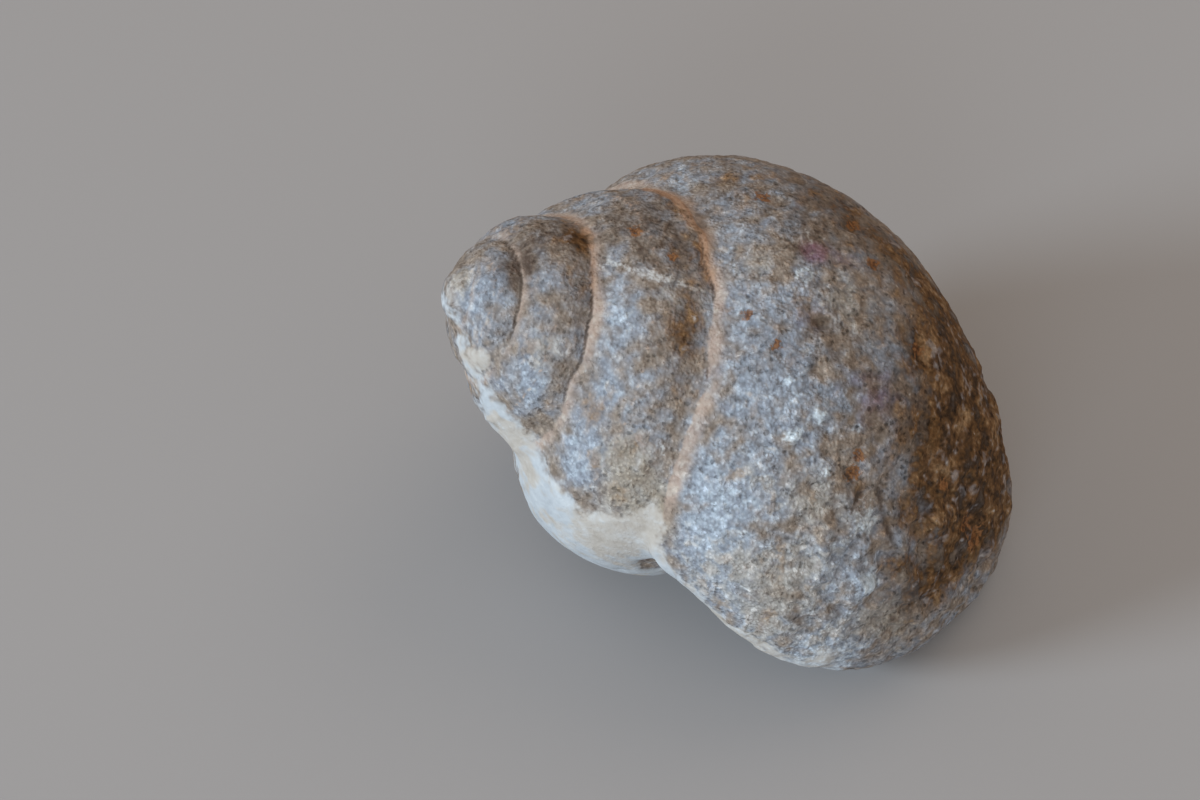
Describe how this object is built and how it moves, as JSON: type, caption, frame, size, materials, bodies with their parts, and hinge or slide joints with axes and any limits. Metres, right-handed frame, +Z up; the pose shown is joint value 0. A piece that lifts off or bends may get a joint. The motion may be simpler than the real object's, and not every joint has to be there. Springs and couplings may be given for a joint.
{
  "type": "fossil snail internal mould",
  "caption": "Solid limestone internal mould of a coiled snail shell with rounded whorls and a low spire, lying on its aperture.",
  "frame": {"origin": "on the resting plane, under the middle of the stone's box", "axes": "+Z up from the resting plane, +X along the stone's longest side, from the apex towards the body whorl"},
  "size_m": [0.0674, 0.0562, 0.0449],
  "materials": {
    "limestone": "matte"
  },
  "bodies": {
    "root": {"fossil_mould": "limestone"}
  },
  "joints": []
}
